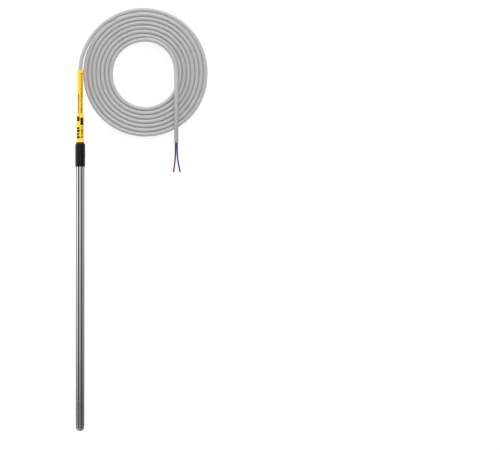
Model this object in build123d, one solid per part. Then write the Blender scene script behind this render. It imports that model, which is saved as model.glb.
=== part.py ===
"""Soil probe sensor: a closed steel tube with a platinum element in its tip and a coiled two-core cable.

The probe lies on the plane z = 0 with its tip towards -Y. The origin is on that plane, under the middle
of the rod and its sleeves. The cable leaves the sleeves towards +Y and lies in one flat coil beside them.
"""

from build123d import *
import math
import os

# Rod, measured along its axis from the tip
nominal_length = 200.0
wide_marker_length = 18.7
narrow_marker_length = 31.3
tube_d = 6.0
tube_wall = 0.5
gripped_d = 5.6
grip_margin = 0.1
mouth_inset = 1.6
weld_depth = 0.2
weld_crown = 0.02
spigot_length = 4.2
spigot_chamfer = 0.3

# Heat-shrink sleeve over the tube's mouth
black_d = 7.05
black_lower_d = 6.95
black_length = 16.9
black_lower_length = 6.0
shoulder_length = 1.1
neck_d = 5.34
neck_wall = 0.55
neck_length = 0.3
neck_bore_length = 0.9
lip_height = 0.1
lip_inset = 0.08
step_height = 0.12
liner = 0.04
liner_gap = 0.1

# The sleeve's rounded shoulder: steps in from the body, and distances past the shoulder's start
shoulder_arc = [(0.0, -0.2), (0.24, 0.28), (0.755, 0.62)]

# Printed marker sleeves on the cable
wide_marker_d = 5.33
narrow_marker_d = 4.02
narrow_marker_bore_d = 3.0

# Rolled grooves that hold the sealing bush
groove_spacing = 4.0
groove_from_mouth = 3.4
groove_width = 1.8
groove_depth = 0.35

# Cable
cable_d = 2.9
core_d = 1.05
conductor_d = 0.55
core_offset = 0.6
jacket_start = 172.0
potting_start = 175.0
bush_start = 188.2
bush_inset = 0.5
potting_gap = 0.1
marker_inset = 0.2
fit_gap = 0.02

# Platinum element and its splices
element_start = 10.5
element_width = 2.0
element_length = 2.3
substrate_thick = 0.65
track_thick = 0.04
track_bars = 5
track_bar = 0.14
track_step = 0.3
track_inset = 0.15
track_margin = 0.2
cover_thick = 0.25
cover_margin = 0.05
bead_length = 0.7
bead_thick = 0.5
bead_margin = 0.1
lead_start_in_bead = 0.1
lead_wire_d = 0.2
ferrule_d = 1.0
ferrule_length = 4.0
ferrule_start = 19.0
splice_sleeve_d = 1.16
splice_overlap = 1.0
core_gap = 0.2
conductor_gap = 0.1
insulator_d = 4.0
insulator_bore_d = 3.4
insulator_start = 9.0
insulator_end = 40.0
compound_gap = 0.1
compound_end = 16.0
chip_pocket = 1.2

# Flat coil: half turns about two centres, a quarter pitch either side of the coil's own centre
coil_x = 44.37
coil_y = 123.57
coil_pitch = 2.9
coil_outer_r = 43.12
coil_rise = 0.44
coil_slack = 0.5
coil_turns = 7
coil_start_angle = 120.0
coil_end_angle = 40.0
coil_gap = 0.1
coil_edge = 0.8

total_length = nominal_length + wide_marker_length + narrow_marker_length
tip_y = -total_length / 2
rod_z = black_d / 2
tube_r = tube_d / 2
bore_r = tube_r - tube_wall
gripped_r = gripped_d / 2
cable_r = cable_d / 2
mouth = nominal_length - mouth_inset
black_start = nominal_length - black_length
black_step = black_start + black_lower_length
shoulder_start = nominal_length - shoulder_length
spigot_end = tube_r + spigot_length
upper_centre = Vector(coil_x - coil_pitch / 4, coil_y + coil_rise)
lower_centre = Vector(coil_x + coil_pitch / 4, coil_y - coil_rise)

rod_plane = Plane(origin=(0, tip_y, rod_z), x_dir=(1, 0, 0), z_dir=(0, 0, 1))
rod_axis = Axis((0, 0, rod_z), (0, 1, 0))

# Cable from the marker sleeve's mouth to the coil's outermost turn
exit_route = [
    (0.0, 125.0, 3.525),
    (0.0, 128.6, 3.525),
    (1.25, 135.67, 3.15),
    (3.7, 142.42, 2.5),
    (7.29, 148.64, 1.9),
    (11.91, 154.14, 1.52),
    (17.43, 158.67, 1.45),
    (22.08, 161.35, 1.45),
]

# Cable from the innermost turn, up over the coil and down to the end of its jacket
tail_route = [
    (61.13, 138.67, 1.45),
    (62.92, 136.53, 1.45),
    (65.43, 131.54, 2.08),
    (66.72, 126.1, 2.76),
    (66.72, 119.6, 3.72),
    (66.72, 112.5, 4.64),
    (66.72, 99.0, 4.52),
    (66.72, 85.5, 4.56),
    (66.72, 75.1, 2.9),
]

# The two bare-ended cores, from the jacket's end to their cut tips
brown_route = [
    (66.17, 75.1, 2.9),
    (66.17, 71.5, 2.325),
    (65.95, 66.6, 1.62),
    (65.3, 60.4, 0.88),
    (64.43, 54.57, 0.57),
]
blue_route = [
    (67.27, 75.1, 2.9),
    (67.27, 71.5, 2.325),
    (67.27, 66.4, 1.6),
    (67.95, 60.2, 0.86),
    (69.15, 54.57, 0.57),
]


def turned(*outline):
    """A solid of revolution about the rod, from lines and arcs drawn as (radius, distance from the tip)."""
    return revolve(rod_plane * make_face(outline), rod_axis)


def ring(inner_r, outer_r, start, end):
    """A plain cylinder or tube about the rod, between two distances from the tip."""
    corners = [(inner_r, start), (outer_r, start), (outer_r, end), (inner_r, end)]
    return turned(*Polyline(*corners, close=True).edges())


def strand(radius, start, end, side):
    """A straight round strand beside the rod's axis, on side +1 or -1."""
    face = Plane(origin=(side * core_offset, tip_y + start, rod_z), z_dir=(0, 1, 0)) * Circle(radius)
    return extrude(face, end - start)


def block(width, thick, start, end, x, z):
    """A flat block in the probe's tip: x is its middle, and z its lower face above the rod's axis."""
    place = Pos(x, tip_y + (start + end) / 2, rod_z + z + thick / 2)
    return place * Box(width, end - start, thick)


def grooved_side(radius, start, end):
    """The line of a cylinder's side that follows the rolled grooves, from start to end."""
    lines = []
    last = start
    for centre in (mouth - groove_from_mouth - groove_spacing, mouth - groove_from_mouth):
        low = centre - groove_width / 2
        high = centre + groove_width / 2
        lines.append(Line((radius, last), (radius, low)))
        lines.append(ThreePointArc((radius, low), (radius - groove_depth, centre), (radius, high)))
        last = high
    lines.append(Line((radius, last), (radius, end)))
    return lines


def probe_tube():
    """Plain where it is bare, and turned down where the black sleeve grips it."""
    grip_start = black_start - grip_margin
    return turned(
        Line((bore_r, mouth), (gripped_r, mouth)),
        *grooved_side(gripped_r, grip_start, mouth),
        Polyline(
            (gripped_r, grip_start),
            (tube_r, grip_start),
            (tube_r, tube_r + weld_depth),
            (tube_r - weld_depth, tube_r),
            (bore_r, tube_r),
        ),
        *grooved_side(bore_r, tube_r, mouth),
    )


def nose_edge():
    """Where the plug's round nose ends at the weld, as (radius, distance from the tip)."""
    return math.sqrt(tube_r**2 - weld_depth**2), tube_r - weld_depth


def tip_plug():
    spigot_r = bore_r - fit_gap
    middle = tube_r * math.sqrt(0.5)
    return turned(
        ThreePointArc((0, 0), (middle, tube_r - middle), nose_edge()),
        Polyline(
            nose_edge(),
            (tube_r - weld_depth, tube_r),
            (spigot_r, tube_r),
            (spigot_r, spigot_end - spigot_chamfer),
            (spigot_r - spigot_chamfer, spigot_end),
            (0, spigot_end),
            (0, 0),
        ),
    )


def tip_weld():
    return turned(
        Polyline(nose_edge(), (tube_r - weld_depth, tube_r), (tube_r, tube_r + weld_depth)),
        ThreePointArc(nose_edge(), (tube_r + weld_crown, tube_r), (tube_r, tube_r + weld_depth)),
    )


def element_substrate():
    low = -lead_wire_d / 2 - substrate_thick
    return block(element_width, substrate_thick, element_start, element_start + element_length, 0, low)


def element_track():
    """A meander of platinum: bars across the substrate, joined at alternate ends."""
    low = -lead_wire_d / 2
    half = element_width / 2 - track_margin
    track = None
    for i in range(track_bars):
        start = element_start + track_inset + i * track_step
        end = start + track_bar
        piece = block(2 * half, track_thick, start, end, 0, low)
        if i < track_bars - 1:
            middle = (half - track_bar / 2) * (-1) ** i
            piece += block(track_bar, track_thick, start, end + track_step, middle, low)
        track = piece if track is None else track + piece
    return track


def element_cover():
    start = element_start + cover_margin
    end = element_start + element_length - bead_length - cover_margin
    low = -lead_wire_d / 2 + track_thick
    return block(element_width - 2 * cover_margin, cover_thick, start, end, 0, low)


def element_leads():
    start = element_start + element_length - bead_length + lead_start_in_bead
    leads = [strand(lead_wire_d / 2, start, ferrule_start + ferrule_length / 2, s) for s in (-1, 1)]
    return Compound(children=leads)


def element_bead():
    start = element_start + element_length - bead_length
    width = element_width - 2 * bead_margin
    bead = block(width, bead_thick, start, start + bead_length, 0, -lead_wire_d / 2)
    return bead - element_leads()


def splice_ferrules():
    """Crimp ferrules, bored for the lead wire at one end and for the conductor at the other."""
    parts = []
    middle = ferrule_start + ferrule_length / 2
    end = ferrule_start + ferrule_length
    for side in (-1, 1):
        body = strand(ferrule_d / 2, ferrule_start, end, side)
        body -= strand(lead_wire_d / 2 + fit_gap, ferrule_start, middle, side)
        body -= strand(conductor_d / 2 + fit_gap, middle, end, side)
        parts.append(body)
    return Compound(children=parts)


def splice_sleeves():
    parts = []
    for side in (-1, 1):
        start = ferrule_start - splice_overlap
        end = ferrule_start + ferrule_length
        sleeve = strand(splice_sleeve_d / 2, start, end, side)
        parts.append(sleeve - strand(ferrule_d / 2 + fit_gap / 2, start, end, side))
    return Compound(children=parts)


def inner_core(side):
    """One insulated core's sheath, from its splice to the marker sleeve's mouth."""
    start = ferrule_start + ferrule_length + core_gap
    sheath = strand(core_d / 2, start, total_length, side)
    return sheath - strand(conductor_d / 2, start, total_length, side)


def inner_conductors():
    start = ferrule_start + ferrule_length / 2 + conductor_gap
    return Compound(children=[strand(conductor_d / 2, start, total_length, s) for s in (-1, 1)])


def element_insulator():
    return ring(insulator_bore_d / 2, insulator_d / 2, insulator_start, insulator_end)


def thermal_compound():
    """Heat-conducting paste round the element, inside and outside its insulating tube."""
    paste = ring(0, bore_r - fit_gap, spigot_end + compound_gap, compound_end)
    end = element_start + element_length
    low = -lead_wire_d / 2 - substrate_thick
    chip = block(element_width, chip_pocket, element_start, end, 0, low)
    return paste - element_insulator() - chip - element_leads()


def potting_plug():
    return ring(cable_r + fit_gap, bore_r - fit_gap, potting_start, bush_start - potting_gap)


def sealing_bush():
    """A soft bush round the cable, gripped by the tube's rolled grooves."""
    end = mouth - bush_inset
    return turned(
        *grooved_side(bore_r - fit_gap, bush_start, end),
        Polyline(
            (bore_r - fit_gap, end),
            (cable_r + fit_gap, end),
            (cable_r + fit_gap, bush_start),
            (bore_r - fit_gap, bush_start),
        ),
    )


def cable_entry_jacket():
    jacket = ring(0, cable_r, jacket_start, total_length)
    for side in (-1, 1):
        jacket -= strand(core_d / 2, jacket_start, total_length, side)
    return jacket


def sleeve_adhesive():
    """Hot-melt lining of the black sleeve: it fills the tube's grooves and the shoulder at its mouth."""
    neck_r = neck_d / 2 - neck_wall - fit_gap / 2
    inner_r = narrow_marker_d / 2 + fit_gap
    start = black_step + liner_gap
    end = nominal_length - liner_gap
    return turned(
        *grooved_side(gripped_r, start, mouth + fit_gap),
        Polyline(
            (gripped_r, start),
            (gripped_r + liner, start),
            (gripped_r + liner, mouth),
            (neck_r, nominal_length - neck_bore_length),
            (neck_r, end),
            (inner_r, end),
            (inner_r, mouth + fit_gap),
            (gripped_r, mouth + fit_gap),
        ),
    )


def black_sleeve():
    """Heat-shrink sleeve: a plain lower end, a body over its lining and a neck shrunk onto the marker."""
    neck_r = neck_d / 2
    body_r = black_d / 2
    lower_r = black_lower_d / 2
    bore_low = gripped_r + fit_gap / 2
    bore_high = bore_low + liner
    neck_bore = neck_r - neck_wall
    shoulder = [(body_r - step, shoulder_start + past) for step, past in shoulder_arc]
    return turned(
        Polyline(
            (bore_low, black_start),
            (lower_r - lip_inset, black_start),
            (lower_r, black_start + lip_height),
            (lower_r, black_step),
            (body_r, black_step + step_height),
            shoulder[0],
        ),
        ThreePointArc(*shoulder),
        Polyline(
            shoulder[2],
            (neck_r, nominal_length - neck_length),
            (neck_r, nominal_length),
            (neck_bore, nominal_length),
            (neck_bore, nominal_length - neck_bore_length),
            (bore_high, mouth + fit_gap),
            (bore_high, black_step + liner_gap - fit_gap),
            (bore_low, black_step + liner_gap - 2 * fit_gap),
            (bore_low, black_start),
        ),
    )


def narrow_marker():
    return ring(narrow_marker_bore_d / 2, narrow_marker_d / 2, mouth + marker_inset, total_length)


def wide_marker():
    start = nominal_length + fit_gap
    return ring(narrow_marker_d / 2 + fit_gap, wide_marker_d / 2, start, start + wide_marker_length)


def corner_radii(route):
    """The largest arc that each corner's two runs allow."""
    radii = []
    for a, b, c in zip(route, route[1:], route[2:]):
        before = Vector(*b) - Vector(*a)
        after = Vector(*c) - Vector(*b)
        half_turn = math.radians(before.get_angle(after)) / 2
        radii.append(0.45 * min(before.length, after.length) / math.tan(half_turn))
    return radii


def swept(route, radius, name):
    """A round solid along straight runs joined by tangent arcs."""
    radii = corner_radii(route)
    path = FilletPolyline(*route, radius=radii)
    tube = sweep(Plane(path @ 0, z_dir=path % 0) * Circle(radius), path)
    share = tube.volume / (math.pi * radius**2 * path.length)
    print(f"{name}: length {path.length:.1f}, volume/section {share:.4f}")
    print("  radii", [round(r, 1) for r in radii])
    return tube


def cable_exit_run():
    return swept(exit_route, cable_r, "cable_exit_run")


def cable_tail():
    return swept(tail_route, cable_r, "cable_tail")


def free_core(route, name):
    """The sheath of one core beyond the jacket."""
    return swept(route, core_d / 2, name) - swept(route, conductor_d / 2, name + " bore")


def free_conductors():
    routes = (brown_route, blue_route)
    return Compound(children=[swept(route, conductor_d / 2, "free_conductor") for route in routes])


def upper_radius(turn):
    return coil_outer_r - turn * coil_pitch


def lower_radius(turn):
    return upper_radius(turn) - coil_pitch / 2


def at_angle(centre, radius, angle):
    turn = math.radians(angle)
    return centre + Vector(math.cos(turn), math.sin(turn)) * radius


def coil_side(first_turn, offset, slack, step_angle):
    """One side of the coil, clockwise from the radial step round to it again.

    first_turn is the side's turn just after the step, and offset goes from the turn's middle to the side.
    """
    after = upper_radius(first_turn) + offset
    below = lower_radius(first_turn) + offset
    before = upper_radius(first_turn + 1) + offset
    low = lower_centre - Vector(0, slack)
    return [
        CenterArc(upper_centre, after, step_angle, -step_angle),
        Line(at_angle(upper_centre, after, 0), at_angle(low, below, 0)),
        CenterArc(low, below, 0, -180),
        Line(at_angle(low, below, 180), at_angle(upper_centre, before, 180)),
        CenterArc(upper_centre, before, 180, step_angle - 180),
    ]


def cable_coil():
    """The outer shape of the coiled cable: a flat spiral ring with a radial step at each end of the cable."""
    half = cable_r - coil_gap
    outer = coil_side(0, half, coil_slack, coil_start_angle)
    inner = coil_side(coil_turns - 1, -half, 0, coil_end_angle)
    outer_step = Line(
        at_angle(upper_centre, upper_radius(1) + half, coil_start_angle),
        at_angle(upper_centre, upper_radius(0) + half, coil_start_angle),
    )
    inner_step = Line(
        at_angle(upper_centre, upper_radius(coil_turns) - half, coil_end_angle),
        at_angle(upper_centre, upper_radius(coil_turns - 1) - half, coil_end_angle),
    )
    disc = extrude(make_face([*outer, outer_step]), cable_d)
    hole = extrude(make_face([*inner, inner_step]), cable_d)
    coil = disc - hole
    rims = [e for e in coil.edges() if abs(e.position_at(0.5).Z - cable_r) > cable_r - 0.01]
    steps = (outer_step.center(), inner_step.center())
    rims = [e for e in rims if all((Vector(e.center().X, e.center().Y) - s).length > 1e-3 for s in steps)]
    return chamfer(rims, coil_edge)


parts = {
    "probe_tube": probe_tube,
    "tip_plug": tip_plug,
    "tip_weld": tip_weld,
    "element_substrate": element_substrate,
    "element_track": element_track,
    "element_cover": element_cover,
    "element_bead": element_bead,
    "element_leads": element_leads,
    "element_insulator": element_insulator,
    "thermal_compound": thermal_compound,
    "splice_ferrules": splice_ferrules,
    "splice_sleeves": splice_sleeves,
    "inner_core_brown": lambda: inner_core(-1),
    "inner_core_blue": lambda: inner_core(1),
    "inner_conductors": inner_conductors,
    "potting_plug": potting_plug,
    "sealing_bush": sealing_bush,
    "cable_entry_jacket": cable_entry_jacket,
    "sleeve_adhesive": sleeve_adhesive,
    "black_sleeve": black_sleeve,
    "narrow_marker_sleeve": narrow_marker,
    "wide_marker_sleeve": wide_marker,
    "cable_exit_run": cable_exit_run,
    "cable_coil": cable_coil,
    "cable_tail": cable_tail,
    "free_core_brown": lambda: free_core(brown_route, "free_core_brown"),
    "free_core_blue": lambda: free_core(blue_route, "free_core_blue"),
    "free_conductors": free_conductors,
}

os.makedirs("parts", exist_ok=True)
for name, make in parts.items():
    export_step(make(), f"parts/{name}.step")
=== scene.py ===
"""The looks of the soil probe sensor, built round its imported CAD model."""

import math

import bpy
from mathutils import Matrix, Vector, noise


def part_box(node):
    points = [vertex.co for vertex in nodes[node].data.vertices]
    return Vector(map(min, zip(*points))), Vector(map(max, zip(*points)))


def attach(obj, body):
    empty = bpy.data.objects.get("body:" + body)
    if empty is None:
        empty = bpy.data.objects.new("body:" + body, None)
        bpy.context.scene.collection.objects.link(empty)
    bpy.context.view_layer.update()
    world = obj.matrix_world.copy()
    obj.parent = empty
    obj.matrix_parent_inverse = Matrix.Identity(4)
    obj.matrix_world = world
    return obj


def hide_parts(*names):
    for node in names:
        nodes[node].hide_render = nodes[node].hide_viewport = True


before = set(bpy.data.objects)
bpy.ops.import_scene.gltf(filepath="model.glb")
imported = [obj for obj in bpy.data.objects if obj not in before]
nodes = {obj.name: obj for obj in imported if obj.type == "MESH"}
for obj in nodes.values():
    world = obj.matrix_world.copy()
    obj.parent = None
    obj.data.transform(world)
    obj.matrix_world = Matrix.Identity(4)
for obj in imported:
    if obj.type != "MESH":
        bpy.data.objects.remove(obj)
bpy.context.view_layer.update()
MM = 0.001  # all lengths are in metres
ROOT = "root"  # the only body, as nothing moves

# ---------------------------------------------------------------- camera

VIEW_WIDTH = 0.3464
VIEW_CENTRE = Vector((0.11765, 0.0177, 0.0035))
CAMERA_DISTANCE = 6.0
CAMERA_TILT = math.radians(2.0)
SENSOR_WIDTH = 36.0


def make_camera():
    """A long lens that looks down on the probe, from a little way towards its tip."""
    data = bpy.data.cameras.new("camera")
    data.sensor_width = SENSOR_WIDTH
    data.lens = SENSOR_WIDTH * CAMERA_DISTANCE / VIEW_WIDTH
    camera = bpy.data.objects.new("camera", data)
    back = Vector((0, -math.sin(CAMERA_TILT), math.cos(CAMERA_TILT)))
    camera.location = VIEW_CENTRE + back * CAMERA_DISTANCE
    camera.rotation_euler = (CAMERA_TILT, 0, 0)
    bpy.context.scene.collection.objects.link(camera)
    bpy.context.scene.camera = camera


make_camera()

# ---------------------------------------------------------------- cable

CABLE_R = 1.45 * MM
CORE_R = 0.525 * MM
FACETS = 1.012  # a strand is drawn this much thicker, because its facets lie inside its circle
SECTION_STEPS = 10
CABLE_SMOOTHNESS = 6
CORE_SMOOTHNESS = 12

COIL_CENTRE = Vector((44.37, 122.97, 1.45)) * MM
COIL_PITCH = 2.955 * MM
COIL_OUTER_R = 43.12 * MM  # of the outer turn's centreline
COIL_RISE = 0.74 * MM  # how far the far half turns are moved towards +Y, and the near ones towards -Y
COIL_SLACK = 0.2 * MM  # how far the first half turn stands off the next one
COIL_TURNS = 7
COIL_START = 120.0  # degrees, where the exit run joins the first turn
COIL_END = 105.0  # degrees, where the tail leaves the last turn
COIL_STEP = 15.0  # degrees between control points

# Control points: the CAD routes' own, some moved or added to follow the photograph
exit_route = [
    (0.0, 0.125, 0.003525),
    (0.0, 0.1283, 0.003525),
    (0.0014, 0.13562, 0.00315),
    (0.00418, 0.1422, 0.0025),
    (0.00772, 0.14832, 0.0019),
    (0.0122, 0.15384, 0.00152),
    (0.01743, 0.15845, 0.00145),
    (0.02208, 0.16108, 0.00145),
]
tail_route = [
    (0.04067, 0.14615, 0.0018),
    (0.04664, 0.1465, 0.0028),
    (0.05255, 0.14522, 0.0034),
    (0.05784, 0.14223, 0.0036),
    (0.06215, 0.13792, 0.0036),
    (0.0651, 0.1326, 0.0036),
    (0.0665, 0.1265, 0.0037),
    (0.06658, 0.1196, 0.004),
    (0.06658, 0.1125, 0.00464),
    (0.06658, 0.099, 0.00452),
    (0.06658, 0.0855, 0.0046),
    (0.06658, 0.0751, 0.0029),
]
brown_route = [
    (0.06604, 0.0763, 0.00309),
    (0.06604, 0.0751, 0.0029),
    (0.06604, 0.0715, 0.002325),
    (0.066, 0.0666, 0.00162),
    (0.06545, 0.0604, 0.00088),
    (0.06462, 0.05457, 0.00057),
]
blue_route = [
    (0.06714, 0.0763, 0.00309),
    (0.06714, 0.0751, 0.0029),
    (0.06714, 0.0715, 0.002325),
    (0.06722, 0.0664, 0.0016),
    (0.06798, 0.0602, 0.00086),
    (0.06922, 0.05457, 0.00057),
]


def arc_points(centre, radius, start, end):
    """Control points whose smooth curve is this arc: the corners of a polygon drawn round it."""
    count = round(abs(end - start) / COIL_STEP)
    step = math.radians(end - start) / count
    corner_r = radius / math.cos(step / 2)
    angles = [math.radians(start) + (i + 0.5) * step for i in range(count)]
    return [centre + Vector((math.cos(a), math.sin(a), 0)) * corner_r for a in angles]


def coil_points():
    """Half turns about two centres, a quarter pitch either side of the coil's own, clockwise inwards."""
    far = COIL_CENTRE + Vector((-COIL_PITCH / 4, COIL_RISE, 0))
    near = COIL_CENTRE + Vector((COIL_PITCH / 4, -COIL_RISE, 0))
    points = []
    for turn in range(COIL_TURNS + 1):
        radius = COIL_OUTER_R - turn * COIL_PITCH
        start = COIL_START if turn == 0 else 180.0
        end = COIL_END if turn == COIL_TURNS else 0.0
        slack = Vector((0, COIL_SLACK if turn == 0 else 0.0, 0))
        points += arc_points(far + slack, radius, start, end)
        if turn < COIL_TURNS:
            points += arc_points(near, radius - COIL_PITCH / 2, 0.0, -180.0)
    return points


def link(piece):
    """Puts a new piece in the scene, on the one body."""
    bpy.context.scene.collection.objects.link(piece)
    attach(piece, ROOT)
    return piece


def smooth_line(curve, places, radius):
    """Adds one smooth spline with these control points to the curve."""
    spline = curve.splines.new("NURBS")
    spline.points.add(len(places) - 1)
    for point, place in zip(spline.points, places):
        point.co = (*place, 1.0)
        point.radius = radius
    spline.order_u = 3
    spline.use_endpoint_u = True


def strand_curve(name, route, radius, smoothness):
    """A round strand along one smooth spline."""
    curve = bpy.data.curves.new(name, "CURVE")
    curve.dimensions = "3D"
    curve.bevel_depth = 1.0
    curve.bevel_resolution = SECTION_STEPS
    curve.resolution_u = smoothness
    smooth_line(curve, route, radius * FACETS)
    return link(bpy.data.objects.new(name, curve))


cable_route = exit_route + coil_points() + tail_route
cable = strand_curve("signal_cable", cable_route, CABLE_R, CABLE_SMOOTHNESS)
brown_core = strand_curve("brown_core", brown_route, CORE_R, CORE_SMOOTHNESS)
blue_core = strand_curve("blue_core", blue_route, CORE_R, CORE_SMOOTHNESS)
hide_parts("cable_exit_run", "cable_coil", "cable_tail")
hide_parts("free_core_brown")
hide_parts("free_core_blue")

# ---------------------------------------------------------------- turned pieces

SEGMENTS = 128
END_SEGMENTS = 48
SHARP_ANGLE = math.radians(40)
CORNER_STEPS = 4
SEAM_BEVEL = 0.2 * MM  # of the tube's and the tip's edges, under the weld
NARROW_SLEEVE_R = 2.01 * MM
WIDE_SLEEVE_R = 2.665 * MM
ROD_Z = (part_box("probe_tube")[0].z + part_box("probe_tube")[1].z) / 2


def rod_size(node):
    """(radius, first y, last y) of a round node on the rod's axis."""
    low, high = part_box(node)
    return (high.x - low.x) / 2, low.y, high.y


def softened(outline):
    """The closed outline as (radius, y), with a curve at each corner given as (radius, y, reach)."""
    result = []
    for i, (x, y, *wanted) in enumerate(outline):
        middle = Vector((x, y))
        before = Vector(outline[i - 1][:2]) - middle
        after = Vector(outline[(i + 1) % len(outline)][:2]) - middle
        if not wanted:
            result.append((x, y))
            continue
        reach = min(wanted[0], before.length / 2, after.length / 2)
        a = middle + before.normalized() * reach
        b = middle + after.normalized() * reach
        for k in range(CORNER_STEPS + 1):
            t = k / CORNER_STEPS
            result.append(tuple(a * (1 - t) ** 2 + middle * 2 * t * (1 - t) + b * t**2))
    return result


def subdivided(outline, longest):
    """The closed outline with points added, so that no stretch is over that length."""
    result = []
    for a, b in zip(outline, outline[1:] + outline[:1]):
        count = max(1, math.ceil((Vector(b) - Vector(a)).length / longest))
        result += [tuple(Vector(a).lerp(Vector(b), k / count)) for k in range(count)]
    return result


def ring_places(radius, y, segments, axis_z, uneven, seed):
    """The places of one ring's points, or of its one point where the radius is none."""
    if radius == 0:
        return [(0.0, y, axis_z)]
    places = []
    for k in range(segments):
        angle = 2 * math.pi * k / segments
        side = Vector((math.sin(angle), 0, math.cos(angle)))
        wave = noise.noise(Vector((side.x * 1.6, y / MM * 0.35, side.z * 1.6 + seed)))
        place = side * (radius + uneven * wave)
        places.append((place.x, y, axis_z + place.z))
    return places


def band_faces(a, b):
    """The faces between two rings, either of which may be one point."""
    count = max(len(a), len(b))
    faces = []
    for k in range(count):
        n = (k + 1) % count
        if len(a) == 1:
            faces.append((a[0], b[n], b[k]))
        elif len(b) == 1:
            faces.append((a[k], a[n], b[0]))
        else:
            faces.append((a[k], a[n], b[n], b[k]))
    return faces


def turned(name, outline, uneven=0.0, seed=0.0, closed=True, segments=SEGMENTS, axis_z=ROD_Z):
    """A solid turned about the rod's axis from an outline of (radius, y), with a little unevenness."""
    verts = []
    faces = []
    rings = []
    for radius, y in outline:
        places = ring_places(radius, y, segments, axis_z, uneven, seed)
        rings.append(range(len(verts), len(verts) + len(places)))
        verts += places
    for a, b in zip(rings, rings[1:]):
        faces += band_faces(a, b)
    if closed:
        faces += band_faces(rings[-1], rings[0])
    mesh = bpy.data.meshes.new(name)
    mesh.from_pydata(verts, [], faces)
    mesh.shade_smooth()
    mesh.set_sharp_from_angle(angle=SHARP_ANGLE)
    return link(bpy.data.objects.new(name, mesh))


def arc(centre, radius, start, end, steps):
    """Points (radius, y) of an arc, with angles measured from the outward direction towards the cable."""
    result = []
    for k in range(steps + 1):
        angle = math.radians(start + (end - start) * k / steps)
        result.append((centre[0] + radius * math.cos(angle), centre[1] + radius * math.sin(angle)))
    return result


def rolled_grooves(radius, end):
    """Points (radius, y) of the two shallow grooves that grip the bush, before that end of the tube."""
    half, depth, steps = 0.9 * MM, 0.35 * MM, 4
    points = []
    for centre in (end - 7.4 * MM, end - 3.4 * MM):
        for k in range(-steps, steps + 1):
            t = k / steps
            points.append((radius - depth * (1 - t * t), centre + t * half))
    return points


def make_tube():
    """The drawn tube, with the grooves rolled into its covered end."""
    radius, start, end = rod_size("probe_tube")
    wall, turned_down, stations = 0.5 * MM, 0.2 * MM, 12
    bore = radius - wall
    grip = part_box("black_sleeve")[0].y - 0.1 * MM
    grip_r = radius - turned_down
    outline = [(bore, start), (radius - SEAM_BEVEL, start), (radius, start + SEAM_BEVEL)]
    outline += [(radius, start + (grip - start) * k / stations) for k in range(1, stations)]
    outline += [(radius, grip), (grip_r, grip)]
    outline += rolled_grooves(grip_r, end) + [(grip_r, end), (bore, end)]
    outline += rolled_grooves(bore, end)[::-1]
    tube = turned("drawn_tube", outline)
    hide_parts("probe_tube")
    return tube


def make_tip():
    """The plug's round nose and the spigot inside the tube."""
    low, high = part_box("tip_plug")
    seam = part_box("probe_tube")[0].y
    radius = seam - low.y
    spigot = rod_size("probe_tube")[0] - 0.52 * MM
    edge = math.degrees(math.asin(SEAM_BEVEL / radius))
    nose = arc((0, seam), radius, -90, -edge, 32)
    nose[0] = (0.0, low.y)
    shoulder = [(radius - SEAM_BEVEL, seam), (spigot, seam), (spigot, high.y), (0.0, high.y)]
    tip = turned("nose_plug", nose + shoulder, closed=False)
    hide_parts("tip_plug")
    return tip


def make_weld():
    """A narrow bead of overlapping ripples round the seam."""
    radius, start, end = rod_size("tip_weld")
    middle, half = (start + end) / 2, (end - start) / 2
    root, fall, ripple, steps = 0.22 * MM, 0.02 * MM, 0.012 * MM, 3
    outline = [(radius - root, middle)]
    for k in range(-steps, steps + 1):
        t = k / steps
        outline.append((radius - ripple / 3 - fall * t * t, middle + half * t))
    weld = turned("seam_weld", outline, uneven=ripple, seed=9.0)
    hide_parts("tip_weld")
    return weld


def make_black_sleeve():
    """Heat-shrink tubing: a cut lower edge, the lining's step, and a neck round the marker sleeve."""
    radius, start, end = rod_size("black_sleeve")
    low_r = radius - 0.05 * MM
    grip_r = rod_size("probe_tube")[0] - 0.19 * MM
    bore_r = grip_r + 0.05 * MM
    step = start + 6.0 * MM
    neck_r = WIDE_SLEEVE_R + 0.005 * MM
    neck_bore_r = neck_r - 0.55 * MM
    outline = [
        (grip_r, start),
        (low_r, start, 0.18 * MM),
        (low_r, step, 0.3 * MM),
        (radius, step + 0.35 * MM, 0.3 * MM),
        (radius, end - 1.2 * MM, 0.4 * MM),
        (neck_r + 0.14 * MM, end - 0.5 * MM, 0.2 * MM),
        (neck_r, end, 0.1 * MM),
        (neck_bore_r, end),
        (neck_bore_r, end - 0.9 * MM),
        (bore_r, end - 1.58 * MM),
        (bore_r, step),
        (grip_r, step),
    ]
    stations = subdivided(softened(outline), 0.8 * MM)
    sleeve = turned("heat_shrink_sleeve", stations, uneven=0.02 * MM, seed=3.0)
    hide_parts("black_sleeve")
    return sleeve


def make_marker(name, node, bore_r, seed):
    """A printed sleeve with cleanly cut ends."""
    radius, start, end = rod_size(node)
    outline = [
        (bore_r, start),
        (radius, start, 0.1 * MM),
        (radius, end, 0.1 * MM),
        (bore_r, end, 0.06 * MM),
    ]
    stations = subdivided(softened(outline), 1.5 * MM)
    marker = turned(name, stations, uneven=0.012 * MM, seed=seed)
    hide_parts(node)
    return marker


def cut_end(name, route, outer_r, inner_r, depth):
    """A jacket's or sheath's cut end: a crisp rim with a wall behind it, in line with the route's end."""
    lip = 0.04 * outer_r
    outline = [
        (outer_r, -depth),
        (outer_r, 0.0, 2 * lip),
        (inner_r + lip, 0.3 * lip, lip),
        (inner_r, -2 * lip, lip),
        (inner_r, -depth),
    ]
    ring = turned(name, softened(outline), segments=END_SEGMENTS, axis_z=0.0)
    place_at_end(ring, route)
    return ring


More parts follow.
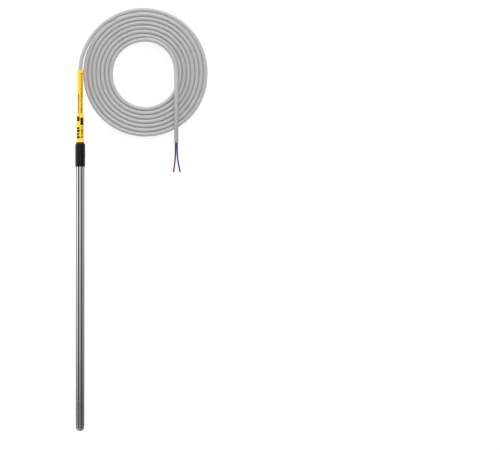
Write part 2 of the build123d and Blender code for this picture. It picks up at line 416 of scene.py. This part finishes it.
def place_at_end(piece, route):
    """Moves a piece made about its own Y axis to a route's end, with +Y pointing out of it."""
    end = Vector(route[-1])
    piece.location = end
    piece.rotation_mode = "QUATERNION"
    piece.rotation_quaternion = (end - Vector(route[-2])).to_track_quat("Y", "Z")


def copper_strands(name, route):
    """Six fine wires round a seventh, with a slight twist, that end just inside the sheath's cut."""
    wire_r, lay_r, depth = 0.085 * MM, 0.18 * MM, 1.6 * MM
    outer_wires, twist, steps = 6, 0.35, 3.1  # a little over 3 steps, so the third stops short of the cut
    curve = bpy.data.curves.new(name, "CURVE")
    curve.dimensions = "3D"
    curve.bevel_depth = 1.0
    curve.bevel_resolution = 4
    curve.use_fill_caps = True
    for wire in range(outer_wires + 1):
        reach = lay_r if wire < outer_wires else 0.0
        places = []
        for k in range(4):
            angle = 2 * math.pi * wire / outer_wires + twist * k
            places.append((reach * math.cos(angle), -depth + depth * k / steps, reach * math.sin(angle)))
        smooth_line(curve, places, wire_r)
    strands = link(bpy.data.objects.new(name, curve))
    place_at_end(strands, route)
    return strands


def make_cut_ends():
    """The jacket's cut end with its filler, and the two sheaths' cut ends with their wires."""
    depth, jacket_bore, filler_r, sheath_bore = 1.2 * MM, 1.12 * MM, 1.13 * MM, 0.28 * MM
    jacket = cut_end("jacket_end", tail_route, CABLE_R * FACETS, jacket_bore, depth)
    mound = [(0.0, -0.9 * MM), (filler_r, -0.9 * MM), (filler_r, -0.7 * MM), (0.0, -0.45 * MM)]
    filler = turned("jacket_filler", mound, 0.05 * MM, closed=False, segments=END_SEGMENTS, axis_z=0.0)
    place_at_end(filler, tail_route)
    sheaths = [
        cut_end("brown_end", brown_route, CORE_R * FACETS, sheath_bore, depth),
        cut_end("blue_end", blue_route, CORE_R * FACETS, sheath_bore, depth),
    ]
    wires = [copper_strands("brown_wires", brown_route), copper_strands("blue_wires", blue_route)]
    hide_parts("free_conductors")
    return jacket, filler, sheaths, wires


jacket_end, jacket_filler, sheath_ends, wire_ends = make_cut_ends()
tube = make_tube()
tip = make_tip()
weld = make_weld()
black_sleeve = make_black_sleeve()
narrow_marker = make_marker("narrow_printed_sleeve", "narrow_marker_sleeve", 1.5 * MM, 5.0)
wide_marker = make_marker("wide_printed_sleeve", "wide_marker_sleeve", 2.03 * MM, 7.0)

# ---------------------------------------------------------------- materials

RANGE_SOCKETS = ("From Min", "From Max", "To Min", "To Max")
INK = (0.012, 0.012, 0.01)
METAL_EDGE = (0.08, 0.08, 0.08, 1.0)  # keeps the metal's grazing edges from turning white


class Graph:
    """A material's nodes, added and linked with short calls."""

    def __init__(self, name):
        self.material = bpy.data.materials.new(name)
        self.material.use_nodes = True
        tree = self.material.node_tree
        tree.nodes.clear()
        self.nodes, self.links = tree.nodes, tree.links
        self.shader = self.nodes.new("ShaderNodeBsdfPrincipled")
        output = self.nodes.new("ShaderNodeOutputMaterial")
        self.links.new(self.shader.outputs[0], output.inputs[0])
        place = self.nodes.new("ShaderNodeTexCoord").outputs["Object"]
        split = self.nodes.new("ShaderNodeSeparateXYZ")
        self.links.new(place, split.inputs[0])
        self.place = place
        self.x, self.y, self.z = split.outputs

    def feed(self, socket, value):
        """Links a node's output to the socket, or sets the socket to a plain value."""
        if isinstance(value, bpy.types.NodeSocket):
            self.links.new(value, socket)
        else:
            socket.default_value = value

    def set(self, **values):
        """Sets or links the shader's sockets; an underscore stands for a space."""
        for name, value in values.items():
            self.feed(self.shader.inputs[name.replace("_", " ")], value)

    def math(self, operation, *values):
        """One sum on plain values or outputs."""
        node = self.nodes.new("ShaderNodeMath")
        node.operation = operation
        for socket, value in zip(node.inputs, values):
            self.feed(socket, value)
        return node.outputs[0]

    def vector(self, x, y, z):
        """A vector of three plain values or outputs."""
        node = self.nodes.new("ShaderNodeCombineXYZ")
        for socket, value in zip(node.inputs, (x, y, z)):
            self.feed(socket, value)
        return node.outputs[0]

    def scaled(self, vector, sizes):
        """A vector divided by three lengths in metres, so that one unit of noise is that long."""
        node = self.nodes.new("ShaderNodeVectorMath")
        node.operation = "DIVIDE"
        self.feed(node.inputs[0], vector)
        node.inputs[1].default_value = sizes
        return node.outputs[0]

    def noise(self, vector, detail=3.0, roughness=0.5):
        """Soft noise, about one unit from one spot to the next."""
        node = self.nodes.new("ShaderNodeTexNoise")
        self.feed(node.inputs["Vector"], vector)
        node.inputs["Scale"].default_value = 1.0
        node.inputs["Detail"].default_value = detail
        node.inputs["Roughness"].default_value = roughness
        return node.outputs["Fac"]

    def ramp(self, value, low, high, start=0.0, end=1.0):
        """value taken from low..high to start..end, and held there."""
        node = self.nodes.new("ShaderNodeMapRange")
        for name, number in zip(RANGE_SOCKETS, (low, high, start, end)):
            node.inputs[name].default_value = number
        self.feed(node.inputs["Value"], value)
        return node.outputs["Result"]

    def mix(self, share, first, second):
        """The first colour where the share is 0, and the second where it is 1."""
        node = self.nodes.new("ShaderNodeMix")
        node.data_type = "RGBA"
        self.feed(node.inputs["Factor"], share)
        for name, colour in (("A", first), ("B", second)):
            socket = [s for s in node.inputs if s.name == name and s.type == "RGBA"][0]
            self.feed(socket, (*colour, 1.0) if isinstance(colour, tuple) else colour)
        return [s for s in node.outputs if s.type == "RGBA"][0]

    def bump(self, height, depth, strength):
        """Relief from the height, that deep, on the shader's normal."""
        node = self.nodes.new("ShaderNodeBump")
        node.inputs["Distance"].default_value = depth
        node.inputs["Strength"].default_value = strength
        self.feed(node.inputs["Height"], height)
        self.feed(self.shader.inputs["Normal"], node.outputs[0])

    def turn(self):
        """The angle round the rod's axis, from straight up towards +X, in radians."""
        return self.math("ARCTAN2", self.x, self.math("SUBTRACT", self.z, ROD_Z))


def painted_tip_shade(g):
    """From 0 on the tube's upper half to 1 near the tip: painted shade, which darkens the steel towards the
    tip, where it is also rougher.
    """
    return g.ramp(g.y, 20 * MM, -110 * MM)


def drawn_steel():
    """Bright drawn tube: fine lines along it and faint smears, with painted shade darkening it towards the
    tip, where it is rougher too.
    """
    g = Graph("drawn_steel")
    lines_round, line_length = 38.0, 60 * MM
    round_rod, along = g.math("MULTIPLY", g.turn(), lines_round), g.math("DIVIDE", g.y, line_length)
    lines = g.noise(g.vector(round_rod, along, 0.0), 4.0, 0.6)
    smears = g.noise(g.scaled(g.place, (0.004, 0.03, 0.004)), 3.0)
    # Painted shade: towards the tip the base colour falls to about half, and the roughness rises there too.
    shade_and_wear = painted_tip_shade(g)
    upper_steel = g.mix(lines, (0.335, 0.335, 0.333), (0.385, 0.385, 0.382))
    shaded_steel = g.mix(smears, (0.16, 0.16, 0.159), (0.185, 0.185, 0.183))
    streaks = g.ramp(g.math("ADD", smears, g.math("MULTIPLY", lines, 0.3)), 0.3, 1.0, 0.0, 0.04)
    g.set(
        Base_Color=g.mix(shade_and_wear, upper_steel, shaded_steel),
        Metallic=1.0,
        Roughness=g.math("ADD", streaks, g.ramp(shade_and_wear, 0.68, 1.0, 0.07, 0.25)),
        Specular_Tint=METAL_EDGE,
    )
    g.bump(lines, 0.003 * MM, 0.25)
    return g.material


def turned_steel():
    """The nose: polished, with the fine rings that turning leaves."""
    g = Graph("turned_steel")
    rings = g.noise(g.vector(0.0, g.math("DIVIDE", g.y, 0.12 * MM), 0.0), 2.0)
    smears = g.noise(g.scaled(g.place, (0.002, 0.002, 0.002)), 3.0)
    g.set(
        Base_Color=g.mix(smears, (0.188, 0.188, 0.187), (0.216, 0.216, 0.215)),
        Metallic=1.0,
        Specular_Tint=METAL_EDGE,
        Roughness=g.ramp(g.math("ADD", rings, smears), 0.6, 1.4, 0.3, 0.42),
    )
    g.bump(rings, 0.003 * MM, 0.5)
    return g.material


def weld_steel():
    """Ground weld metal: ripples round the seam, with a straw tint in places."""
    g = Graph("weld_steel")
    ripples_round, ripple_width = 14.0, 0.4 * MM
    round_rod, along = g.math("MULTIPLY", g.turn(), ripples_round), g.math("DIVIDE", g.y, ripple_width)
    ripples = g.noise(g.vector(round_rod, along, 0.0), 2.0)
    tint = g.noise(g.scaled(g.place, (0.003, 0.003, 0.003)), 2.0)
    g.set(
        Base_Color=g.mix(tint, (0.3, 0.298, 0.29), (0.27, 0.25, 0.22)),
        Metallic=1.0,
        Roughness=g.ramp(ripples, 0.3, 0.7, 0.28, 0.42),
    )
    g.bump(ripples, 0.01 * MM, 0.6)
    return g.material


def heat_shrink():
    """Black heat-shrink tubing with a satin skin, faint drawn lines and specks of dust."""
    g = Graph("heat_shrink")
    skin = g.noise(g.scaled(g.place, (0.00025, 0.0006, 0.00025)), 3.0, 0.6)
    waves = g.noise(g.scaled(g.place, (0.002, 0.004, 0.002)), 2.0)
    dust = g.ramp(g.noise(g.scaled(g.place, (0.0004, 0.0004, 0.0004)), 2.0, 0.7), 0.72, 0.8)
    g.set(
        Base_Color=g.mix(dust, (0.0045, 0.0045, 0.0047), (0.02, 0.02, 0.019)),
        Roughness=g.ramp(g.math("ADD", skin, waves), 0.7, 1.3, 0.22, 0.34),
        Specular_IOR_Level=0.2,
    )
    g.bump(g.math("ADD", skin, g.math("MULTIPLY", waves, 3.0)), 0.012 * MM, 0.6)
    return g.material


def between(g, value, low, high):
    """1 where the value lies between the two, and 0 elsewhere."""
    return g.math("MULTIPLY", g.math("GREATER_THAN", value, low), g.math("LESS_THAN", value, high))


def mark_row(g, across, sides, ends, pitch, seed, widths):
    """A row of plain solid blocks along the sleeve, each with its own length and height."""
    step = g.math("DIVIDE", g.y, pitch)
    white = g.nodes.new("ShaderNodeTexWhiteNoise")
    white.noise_dimensions = "1D"
    g.feed(white.inputs["W"], g.math("ADD", g.math("FLOOR", step), seed))
    random = g.nodes.new("ShaderNodeSeparateColor")
    g.links.new(white.outputs["Color"], random.inputs[0])
    length = g.ramp(random.outputs[0], 0.0, 1.0, *widths)
    lowest_top = sides[0] + 0.75 * (sides[1] - sides[0])
    top = g.ramp(random.outputs[1], 0.0, 1.0, lowest_top, sides[1])
    block = g.math("LESS_THAN", g.math("FRACT", step), length)
    body = g.math("MULTIPLY", between(g, across, sides[0], top), between(g, g.y, *ends))
    return g.math("MULTIPLY", block, body)


def sleeve_print(g, across, rows, oblongs):
    """1 where any of the rows or oblongs is printed."""
    marks = [mark_row(g, across, *row) for row in rows]
    for sides, ends in oblongs:
        marks.append(g.math("MULTIPLY", between(g, across, *sides), between(g, g.y, *ends)))
    ink = marks[0]
    for mark in marks[1:]:
        ink = g.math("MAXIMUM", ink, mark)
    return ink


# Rows of print: across the sleeve, along it, pitch, seed, and the least and most of the pitch that is filled
NARROW_ROWS = [
    ((-1.9 * MM, -0.6 * MM), (95.3 * MM, 108.4 * MM), 0.93 * MM, 3.0, (0.55, 0.75)),
    ((0.3 * MM, 1.9 * MM), (95.3 * MM, 123.2 * MM), 1.42 * MM, 40.0, (0.42, 0.68)),
]
WIDE_ROWS = [
    ((-2.75 * MM, -0.15 * MM), (77.6 * MM, 86.0 * MM), 2.1 * MM, 11.0, (0.65, 0.85)),
    ((0.5 * MM, 2.3 * MM), (77.6 * MM, 86.0 * MM), 0.95 * MM, 71.0, (0.5, 0.8)),
]
# Plain oblongs: across the sleeve from..to, along it from..to
WIDE_OBLONGS = [
    ((-2.75 * MM, -0.35 * MM), (89.6 * MM, 92.9 * MM)),
    ((0.1 * MM, 2.5 * MM), (86.9 * MM, 92.1 * MM)),
]


def printed_yellow(name, radius, rows, oblongs, green):
    """Satin yellow sleeve printed with generic blocks."""
    g = Graph(name)
    ink = sleeve_print(g, g.math("MULTIPLY", g.turn(), radius), rows, oblongs)
    # Here the mask is only the ink's wear, with no shade painted.
    shade_and_wear = g.ramp(g.noise(g.scaled(g.place, (0.00015, 0.00015, 0.00015)), 3.0, 0.7), 0.3, 0.42)
    ink = g.math("MULTIPLY", ink, g.ramp(shade_and_wear, 0.0, 1.0, 0.8, 1.0))
    skin = g.noise(g.scaled(g.place, (0.0003, 0.0008, 0.0003)), 3.0, 0.6)
    tone = g.noise(g.scaled(g.place, (0.003, 0.006, 0.003)), 2.0)
    yellow = g.mix(tone, (1.0, green - 0.02, 0.04), (1.0, green + 0.02, 0.05))
    g.set(
        Base_Color=g.mix(ink, yellow, INK),
        Roughness=g.ramp(g.math("ADD", skin, ink), 0.3, 1.6, 0.4, 0.55),
        Specular_IOR_Level=0.2,
    )
    g.bump(g.math("ADD", skin, g.math("MULTIPLY", ink, 0.6)), 0.008 * MM, 0.6)
    return g.material


def painted_tail_shade(g):
    """1 on the cable's free end, which is painted darker as shade, and 0 on the coil that it lies on."""
    above_coil = g.ramp(g.z, 2.95 * MM, 3.6 * MM)
    past_coil = g.ramp(g.y, 79 * MM, 78 * MM)
    near_end = g.ramp(g.y, 112 * MM, 80 * MM)
    right_side = g.ramp(g.x, 50 * MM, 60 * MM)
    off_coil = g.math("MAXIMUM", above_coil, past_coil)
    return g.math("MULTIPLY", g.math("MULTIPLY", off_coil, near_end), right_side)


def soft_plastic(name, low, high, roughness, tail_shade_colour=None, specular=0.3):
    """Smooth extruded plastic: a faint mottle, handling marks in its roughness and a fine skin; given a tail
    colour, the cable's free end is painted darker as shade.
    """
    g = Graph(name)
    skin = g.noise(g.scaled(g.place, (0.00018, 0.00018, 0.00018)), 3.0, 0.6)
    mottle = g.noise(g.scaled(g.place, (0.004, 0.004, 0.004)), 3.0)
    marks = g.ramp(g.noise(g.scaled(g.place, (0.0012, 0.0012, 0.0012)), 4.0, 0.7), 0.6, 0.75)
    tone = g.math("ADD", g.math("MULTIPLY", skin, 0.35), g.math("MULTIPLY", mottle, 0.65))
    colour = g.mix(tone, low, high)
    # Painted shade: the cable's free end, off the coil, takes the darker tail colour.
    if tail_shade_colour:
        colour = g.mix(painted_tail_shade(g), colour, tail_shade_colour)
    g.set(
        Base_Color=colour,
        Roughness=g.ramp(g.math("ADD", skin, marks), 0.3, 1.6, roughness, roughness + 0.12),
        Specular_IOR_Level=specular,
    )
    g.bump(skin, 0.006 * MM, 0.6)
    return g.material


def stranded_copper():
    """Bright copper with a fine grain."""
    g = Graph("stranded_copper")
    grain = g.noise(g.scaled(g.place, (0.0001, 0.0001, 0.0001)), 2.0)
    g.set(
        Base_Color=g.mix(grain, (0.7, 0.33, 0.18), (0.9, 0.5, 0.32)),
        Metallic=1.0,
        Roughness=g.ramp(grain, 0.3, 0.7, 0.22, 0.4),
    )
    g.bump(grain, 0.01 * MM, 0.5)
    return g.material


def grey(level):
    """A neutral colour of that brightness."""
    return (level, level, level)


def assign(piece, material):
    """Gives the piece that one material."""
    piece.data.materials.clear()
    piece.data.materials.append(material)


# Painted shade: the cable's free end is coloured a darker grey.
pvc = soft_plastic("grey_pvc", grey(0.41), grey(0.46), 0.45, tail_shade_colour=grey(0.34))
# This darker grey matches the tail's painted shade, carried onto the jacket's cut end and its filler.
pvc_end = soft_plastic("grey_pvc_end", grey(0.33), grey(0.35), 0.45)
brown = soft_plastic("brown_insulation", (0.085, 0.036, 0.02), (0.1, 0.043, 0.024), 0.35, specular=0.12)
blue = soft_plastic("blue_insulation", (0.028, 0.004, 0.4), (0.036, 0.006, 0.48), 0.35, specular=0.12)
copper = stranded_copper()
weld_look = weld_steel()
outer_looks = [
    (cable, pvc),
    (jacket_end, pvc_end),
    (jacket_filler, pvc_end),
    (sheath_ends[0], brown),
    (sheath_ends[1], blue),
    (wire_ends[0], copper),
    (wire_ends[1], copper),
    (brown_core, brown),
    (blue_core, blue),
    (tube, drawn_steel()),
    (tip, turned_steel()),
    (weld, weld_look),
    (black_sleeve, heat_shrink()),
    (narrow_marker, printed_yellow("narrow_yellow", NARROW_SLEEVE_R, NARROW_ROWS, [], 0.6)),
    (wide_marker, printed_yellow("wide_yellow", WIDE_SLEEVE_R, WIDE_ROWS, WIDE_OBLONGS, 0.645)),
]
for piece, material in outer_looks:
    assign(piece, material)

alumina = soft_plastic("alumina", (0.78, 0.77, 0.73), (0.86, 0.85, 0.82), 0.5)
glass = soft_plastic("element_glass", (0.36, 0.4, 0.33), (0.44, 0.48, 0.4), 0.15)
insulator = soft_plastic("insulator", (0.74, 0.73, 0.7), (0.84, 0.83, 0.8), 0.35)
paste = soft_plastic("paste", (0.7, 0.7, 0.68), (0.8, 0.8, 0.78), 0.6)
resin = soft_plastic("potting_resin", (0.03, 0.03, 0.032), (0.05, 0.05, 0.052), 0.2)
rubber = soft_plastic("bush_rubber", (0.28, 0.07, 0.045), (0.36, 0.09, 0.06), 0.5)
adhesive = soft_plastic("hot_melt", (0.1, 0.085, 0.06), (0.15, 0.13, 0.1), 0.25)
inner_looks = {
    alumina: ["element_substrate"],
    glass: ["element_cover", "element_bead"],
    insulator: ["element_insulator", "splice_sleeves"],
    paste: ["thermal_compound"],
    resin: ["potting_plug"],
    rubber: ["sealing_bush"],
    adhesive: ["sleeve_adhesive"],
    weld_look: ["element_track", "element_leads", "splice_ferrules"],
    copper: ["inner_conductors", "free_conductors"],
    brown: ["inner_core_brown"],
    blue: ["inner_core_blue"],
    pvc: ["cable_entry_jacket"],
}
for material, names in inner_looks.items():
    for name in names:
        assign(nodes[name], material)

# ---------------------------------------------------------------- floor and light


def make_floor():
    """A plain white floor that glows a little, as a light table does, and more to the left of the rod."""
    reach, low = 6.0, -0.2 * MM
    mesh = bpy.data.meshes.new("floor")
    corners = [(-reach, -reach, low), (reach, -reach, low), (reach, reach, low), (-reach, reach, low)]
    mesh.from_pydata(corners, [], [(0, 1, 2, 3)])
    floor = bpy.data.objects.new("floor", mesh)
    bpy.context.scene.collection.objects.link(floor)
    g = Graph("white_floor")
    grain = g.noise(g.scaled(g.place, (0.05, 0.05, 0.05)), 2.0)
    g.set(
        Base_Color=g.mix(grain, grey(0.19), grey(0.21)),
        Roughness=0.9,
        Specular_IOR_Level=0.0,
        Emission_Color=(1.0, 1.0, 1.0, 1.0),
        Emission_Strength=g.ramp(g.x, -20 * MM, 20 * MM, 1.1, 0.83),
    )
    assign(floor, g.material)


# The studio round the rod: degrees from straight up towards +X, and the brightness there
STUDIO = [
    (-180, 0.3),
    (-104, 0.3),
    (-97, 3.0),
    (-66, 3.0),
    (-63, 0.02),
    (-33, 0.02),
    (-30, 1.45),
    (17, 1.45),
    (21, 0.12),
    (48, 0.12),
    (52, 0.86),
    (100, 0.86),
    (180, 0.3),
]
STUDIO_PEAK = 3.0
# Two smooth steps in the direction's Y, from..to, and the strength at each: dim above the tip, and brighter
# again low beyond it, where only views from behind see the steel's reflections. They add up.
ABOVE_TIP = (-0.085, 0.025, 0.36 * STUDIO_PEAK, STUDIO_PEAK)
BEYOND_TIP = (-0.52, -0.66, 0.0, 0.75 * STUDIO_PEAK)


class World:
    """The studio's nodes, added and linked with short calls."""

    def __init__(self):
        world = bpy.data.worlds.new("studio")
        bpy.context.scene.world = world
        world.use_nodes = True
        world.node_tree.nodes.clear()
        self.add, self.link = world.node_tree.nodes.new, world.node_tree.links.new

    def math(self, operation, first, second):
        """One sum on two outputs."""
        node = self.add("ShaderNodeMath")
        node.operation = operation
        self.link(first, node.inputs[0])
        self.link(second, node.inputs[1])
        return node.outputs[0]

    def ramp(self, value, numbers, smooth=False):
        """value taken from the first two numbers to the last two, and held there."""
        node = self.add("ShaderNodeMapRange")
        node.interpolation_type = "SMOOTHSTEP" if smooth else "LINEAR"
        for name, number in zip(RANGE_SOCKETS, numbers):
            node.inputs[name].default_value = number
        self.link(value, node.inputs["Value"])
        return node.outputs["Result"]

    def bands(self, share):
        """The studio's brightness for a share of the way round the rod, as a part of its peak."""
        node = self.add("ShaderNodeValToRGB")
        elements = node.color_ramp.elements
        while len(elements) > 1:
            elements.remove(elements[-1])
        for i, (angle, level) in enumerate(STUDIO):
            place = (angle + 180) / 360
            element = elements[0] if i == 0 else elements.new(place)
            element.position = place
            element.color = (*grey(level / STUDIO_PEAK), 1)
        self.link(share, node.inputs[0])
        return node.outputs[0]


def make_world():
    """Long softboxes and dark flags that run parallel to the rod; the camera itself sees plain white."""
    w = World()
    split = w.add("ShaderNodeSeparateXYZ")
    w.link(w.add("ShaderNodeTexCoord").outputs["Generated"], split.inputs[0])
    x, y, z = split.outputs
    share = w.ramp(w.math("ARCTAN2", x, z), (-math.pi, math.pi, 0.0, 1.0))
    studio = w.add("ShaderNodeBackground")
    w.link(w.bands(share), studio.inputs["Color"])
    strength = w.math("ADD", w.ramp(y, ABOVE_TIP, smooth=True), w.ramp(y, BEYOND_TIP, smooth=True))
    w.link(strength, studio.inputs["Strength"])
    plain = w.add("ShaderNodeBackground")
    plain.inputs["Color"].default_value = (1, 1, 1, 1)
    mix = w.add("ShaderNodeMixShader")
    w.link(w.add("ShaderNodeLightPath").outputs["Is Camera Ray"], mix.inputs[0])
    w.link(studio.outputs[0], mix.inputs[1])
    w.link(plain.outputs[0], mix.inputs[2])
    w.link(mix.outputs[0], w.add("ShaderNodeOutputWorld").inputs[0])


def make_sun(name, towards, strength, spread):
    """A soft light from far off, from that direction."""
    data = bpy.data.lights.new(name, "SUN")
    data.energy = strength
    data.angle = math.radians(spread)
    light = bpy.data.objects.new(name, data)
    light.rotation_mode = "QUATERNION"
    light.rotation_quaternion = Vector(towards).to_track_quat("Z", "Y")
    bpy.context.scene.collection.objects.link(light)


make_floor()
make_world()
make_sun("key", (0.3, 1.0, 0.75), 2.0, 30)
make_sun("fill", (-0.45, -0.7, 0.9), 0.12, 60)
bpy.context.scene.view_settings.view_transform = "Standard"
